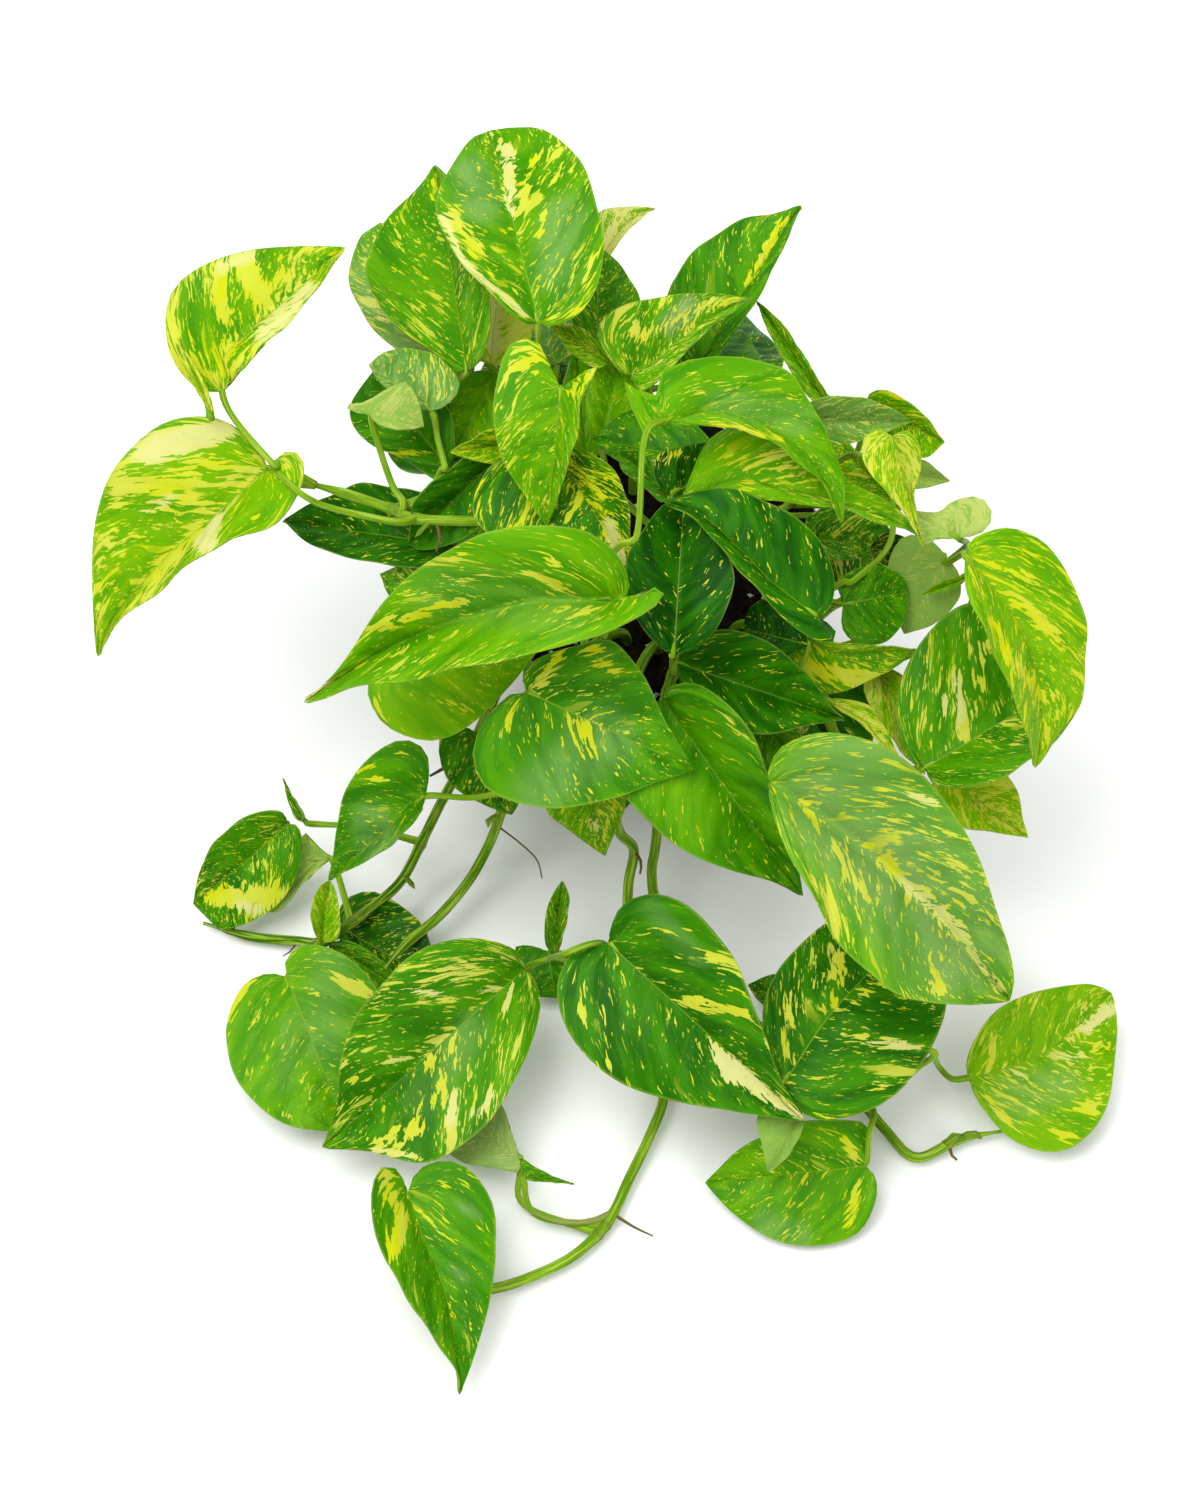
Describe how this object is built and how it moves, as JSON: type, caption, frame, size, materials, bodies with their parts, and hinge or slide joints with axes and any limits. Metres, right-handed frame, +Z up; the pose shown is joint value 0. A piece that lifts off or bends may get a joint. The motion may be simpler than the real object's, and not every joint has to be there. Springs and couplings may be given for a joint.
{
  "type": "potted golden pothos",
  "caption": "Trailing pothos with heart-shaped, yellow-flecked leaves, growing in a plain tapered nursery pot, with vines that hang over the rim and lie on the surface in front.",
  "frame": {"origin": "centre of the pot's underside, on the surface that it stands on", "axes": "+Z up out of the pot, -Y towards the side where the vines trail, +X to the right seen from that side"},
  "size_m": [0.3874, 0.4453, 0.2338],
  "materials": {
    "black_plastic": "moulded plain black plastic with a fine dull surface",
    "soil": "dark moist potting compost with white perlite specks",
    "leaf": "waxy semi-gloss green leaves with yellow and cream flecks, pale undersides"
  },
  "bodies": {
    "root": {"pot": "black_plastic", "soil": "soil", "stem_centre": "leaf", "stem_east": "leaf", "stem_middle": "leaf", "stem_north": "leaf", "stem_northeast": "leaf", "stem_northwest": "leaf", "stem_west": "leaf", "vine_front": "leaf", "vine_inner": "leaf", "vine_left": "leaf", "vine_right": "leaf", "vine_side": "leaf"}
  },
  "joints": []
}
